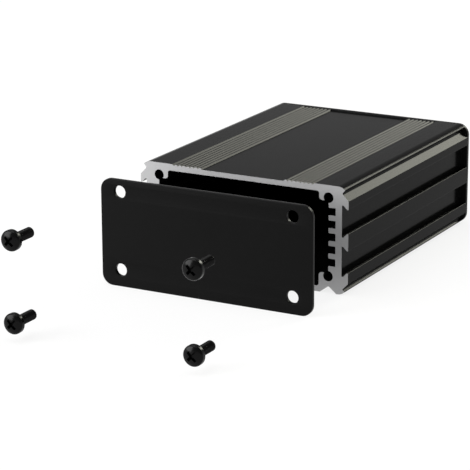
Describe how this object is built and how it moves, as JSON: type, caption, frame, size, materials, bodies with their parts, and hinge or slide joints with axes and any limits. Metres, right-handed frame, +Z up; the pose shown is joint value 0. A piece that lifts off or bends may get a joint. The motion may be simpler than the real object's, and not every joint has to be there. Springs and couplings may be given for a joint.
{
  "type": "aluminium enclosure",
  "caption": "Black extruded aluminium box with a flat plate and pan-head screws at each end, ridged top, side channels and inner board slots; the front plate and its screws are drawn off.",
  "frame": {"origin": "centre of the extruded body's underside, halfway along it", "axes": "+X across the body to the right as seen from the front, +Y along the extrusion from the front plate to the rear plate, +Z up"},
  "size_m": [0.08, 0.197, 0.0375],
  "materials": {
    "anodised_body": "satin",
    "black_plate": "matte",
    "black_screw": "satin"
  },
  "bodies": {
    "enclosure": {"extruded_body": "anodised_body"},
    "front_plate": {"front_plate": "black_plate"},
    "rear_plate": {"rear_plate": "black_plate"},
    "front_screw_top_left": {"front_screw_top_left": "black_screw"},
    "front_screw_top_right": {"front_screw_top_right": "black_screw"},
    "front_screw_bottom_left": {"front_screw_bottom_left": "black_screw"},
    "front_screw_bottom_right": {"front_screw_bottom_right": "black_screw"},
    "rear_screw_top_left": {"rear_screw_top_left": "black_screw"},
    "rear_screw_top_right": {"rear_screw_top_right": "black_screw"},
    "rear_screw_bottom_left": {"rear_screw_bottom_left": "black_screw"},
    "rear_screw_bottom_right": {"rear_screw_bottom_right": "black_screw"}
  },
  "joints": [
    {"name": "front_plate_slide", "type": "slide", "parent": "enclosure", "child": "front_plate", "axis": [0, 1, 0], "range_m": [0, 0.0248]},
    {"name": "rear_plate_slide", "type": "slide", "parent": "enclosure", "child": "rear_plate", "axis": [0, 1, 0], "range_m": [0, 0.0248]},
    {"name": "front_screw_top_left_slide", "type": "slide", "parent": "front_plate", "child": "front_screw_top_left", "axis": [0, 1, 0], "range_m": [0, 0.064]},
    {"name": "front_screw_top_right_slide", "type": "slide", "parent": "front_plate", "child": "front_screw_top_right", "axis": [0, 1, 0], "range_m": [0, 0.064]},
    {"name": "front_screw_bottom_left_slide", "type": "slide", "parent": "front_plate", "child": "front_screw_bottom_left", "axis": [0, 1, 0], "range_m": [0, 0.064]},
    {"name": "front_screw_bottom_right_slide", "type": "slide", "parent": "front_plate", "child": "front_screw_bottom_right", "axis": [0, 1, 0], "range_m": [0, 0.064]},
    {"name": "rear_screw_top_left_slide", "type": "slide", "parent": "rear_plate", "child": "rear_screw_top_left", "axis": [0, 1, 0], "range_m": [0, 0.064]},
    {"name": "rear_screw_top_right_slide", "type": "slide", "parent": "rear_plate", "child": "rear_screw_top_right", "axis": [0, 1, 0], "range_m": [0, 0.064]},
    {"name": "rear_screw_bottom_left_slide", "type": "slide", "parent": "rear_plate", "child": "rear_screw_bottom_left", "axis": [0, 1, 0], "range_m": [0, 0.064]},
    {"name": "rear_screw_bottom_right_slide", "type": "slide", "parent": "rear_plate", "child": "rear_screw_bottom_right", "axis": [0, 1, 0], "range_m": [0, 0.064]}
  ]
}
